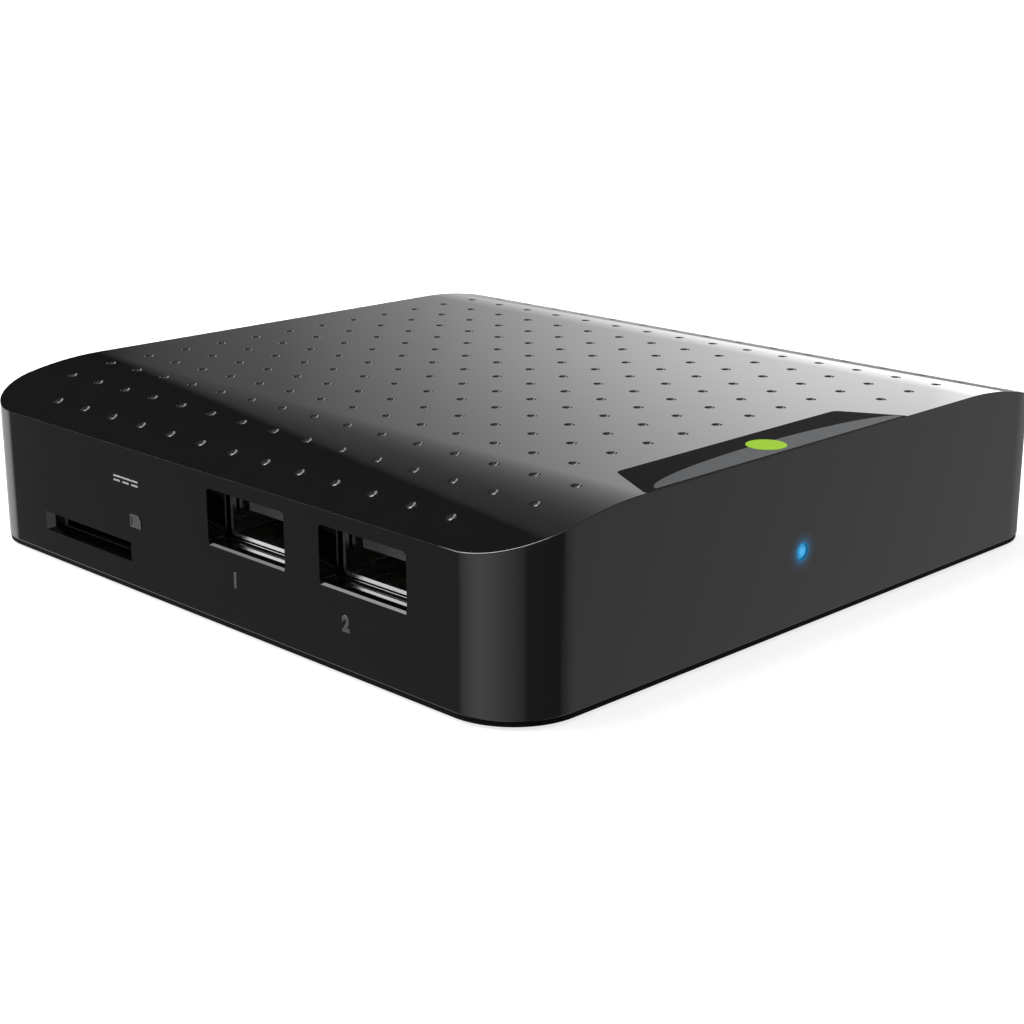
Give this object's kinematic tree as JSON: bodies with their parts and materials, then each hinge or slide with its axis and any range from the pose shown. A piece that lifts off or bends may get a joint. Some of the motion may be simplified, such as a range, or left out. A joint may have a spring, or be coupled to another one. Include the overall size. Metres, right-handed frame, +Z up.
{
  "type": "hybrid tv set-top box",
  "caption": "Square glossy black set-top box with a crowned, dimpled roof, side USB and card sockets, rear sockets and a blue status light.",
  "frame": {"origin": "middle of the footprint, on the surface the feet stand on", "axes": "+X right as the front is seen, +Y to the rear, +Z up"},
  "size_m": [0.105, 0.105, 0.0231],
  "materials": {
    "gloss_black": "high gloss moulded black",
    "matte_black": "fine matt texture",
    "inlay_black": "satin black printed film",
    "screw_steel": "zinc plated",
    "board_green": "green solder mask",
    "chip_black": "moulded epoxy",
    "pad_grey": "soft silicone",
    "sink_aluminium": "clear anodised, extruded",
    "pin_plastic": "nylon",
    "tin_steel": "tinned",
    "contact_gold": "gold flash",
    "can_aluminium": "drawn can",
    "ferrite_grey": "ferrite",
    "clear_pipe": "clear polycarbonate",
    "led_blue": "blue lit diode",
    "receiver_black": "dark infrared-passing epoxy",
    "socket_black": "glass-filled nylon",
    "shell_steel": "nickel plated sheet",
    "slider_white": "acetal",
    "button_grey": "moulded",
    "shutter_black": "moulded",
    "optical_red": "clear lens over a red diode",
    "insulator_white": "white nylon",
    "foot_rubber": "moulded rubber"
  },
  "bodies": {
    "root": {"top_cover": "gloss_black", "base_plate": "matte_black", "top_inlay": "inlay_black", "case_screws": "screw_steel", "board_screws": "screw_steel", "main_board": "board_green", "processor_chip": "chip_black", "thermal_pad": "pad_grey", "heat_sink": "sink_aluminium", "heat_sink_pins": "pin_plastic", "memory_chips": "chip_black", "flash_chip": "chip_black", "tuner_can": "tin_steel", "radio_module": "board_green", "radio_shield": "tin_steel", "radio_antenna": "contact_gold", "capacitors": "can_aluminium", "power_inductors": "ferrite_grey", "crystal": "tin_steel", "light_pipe": "clear_pipe", "status_led": "led_blue", "infrared_receiver": "receiver_black", "receiver_leads": "tin_steel", "card_socket_frame": "socket_black", "card_socket_shell": "shell_steel", "card_spring": "screw_steel", "card_contacts": "contact_gold", "supply_jack_body": "socket_black", "supply_jack_pin": "shell_steel", "supply_jack_spring": "contact_gold", "av_jack_body": "socket_black", "av_jack_contacts": "contact_gold", "reset_switch_body": "socket_black", "optical_body": "socket_black", "optical_lens": "optical_red", "hdmi_shell": "shell_steel", "hdmi_tongue": "socket_black", "hdmi_contacts": "contact_gold", "network_shield": "shell_steel", "network_housing": "socket_black", "network_contacts": "contact_gold", "aerial_barrel": "shell_steel", "aerial_insulator": "insulator_white", "aerial_contact": "contact_gold", "rubber_foot_1": "foot_rubber", "rubber_foot_2": "foot_rubber", "rubber_foot_3": "foot_rubber", "rubber_foot_4": "foot_rubber", "usb_1_shell": "shell_steel", "usb_1_tongue": "socket_black", "usb_1_riser": "socket_black", "usb_1_contacts": "contact_gold", "usb_2_shell": "shell_steel", "usb_2_tongue": "socket_black", "usb_2_riser": "socket_black", "usb_2_contacts": "contact_gold"},
    "card_slider": {"card_slider": "slider_white"},
    "optical_shutter": {"optical_shutter": "shutter_black"},
    "reset_button": {"reset_button": "button_grey"}
  },
  "joints": [
    {"name": "card_push", "type": "slide", "parent": "root", "child": "card_slider", "axis": [1, 0, 0], "range_m": [0, 0.004], "stiffness_N_per_m": 60, "springref_m": -0.001, "deforming": ["card_spring"]},
    {"name": "shutter_hinge", "type": "hinge", "parent": "root", "child": "optical_shutter", "pos_m": [-0.01125, 0.048, 0.01715], "axis": [-1, 0, 0], "range_deg": [0, 80], "stiffness_Nm_per_rad": 0.0006, "springref_deg": -11.46},
    {"name": "reset_press", "type": "slide", "parent": "root", "child": "reset_button", "axis": [0, -1, 0], "range_m": [0, 0.00025], "stiffness_N_per_m": 1500, "springref_m": -0.0002}
  ]
}
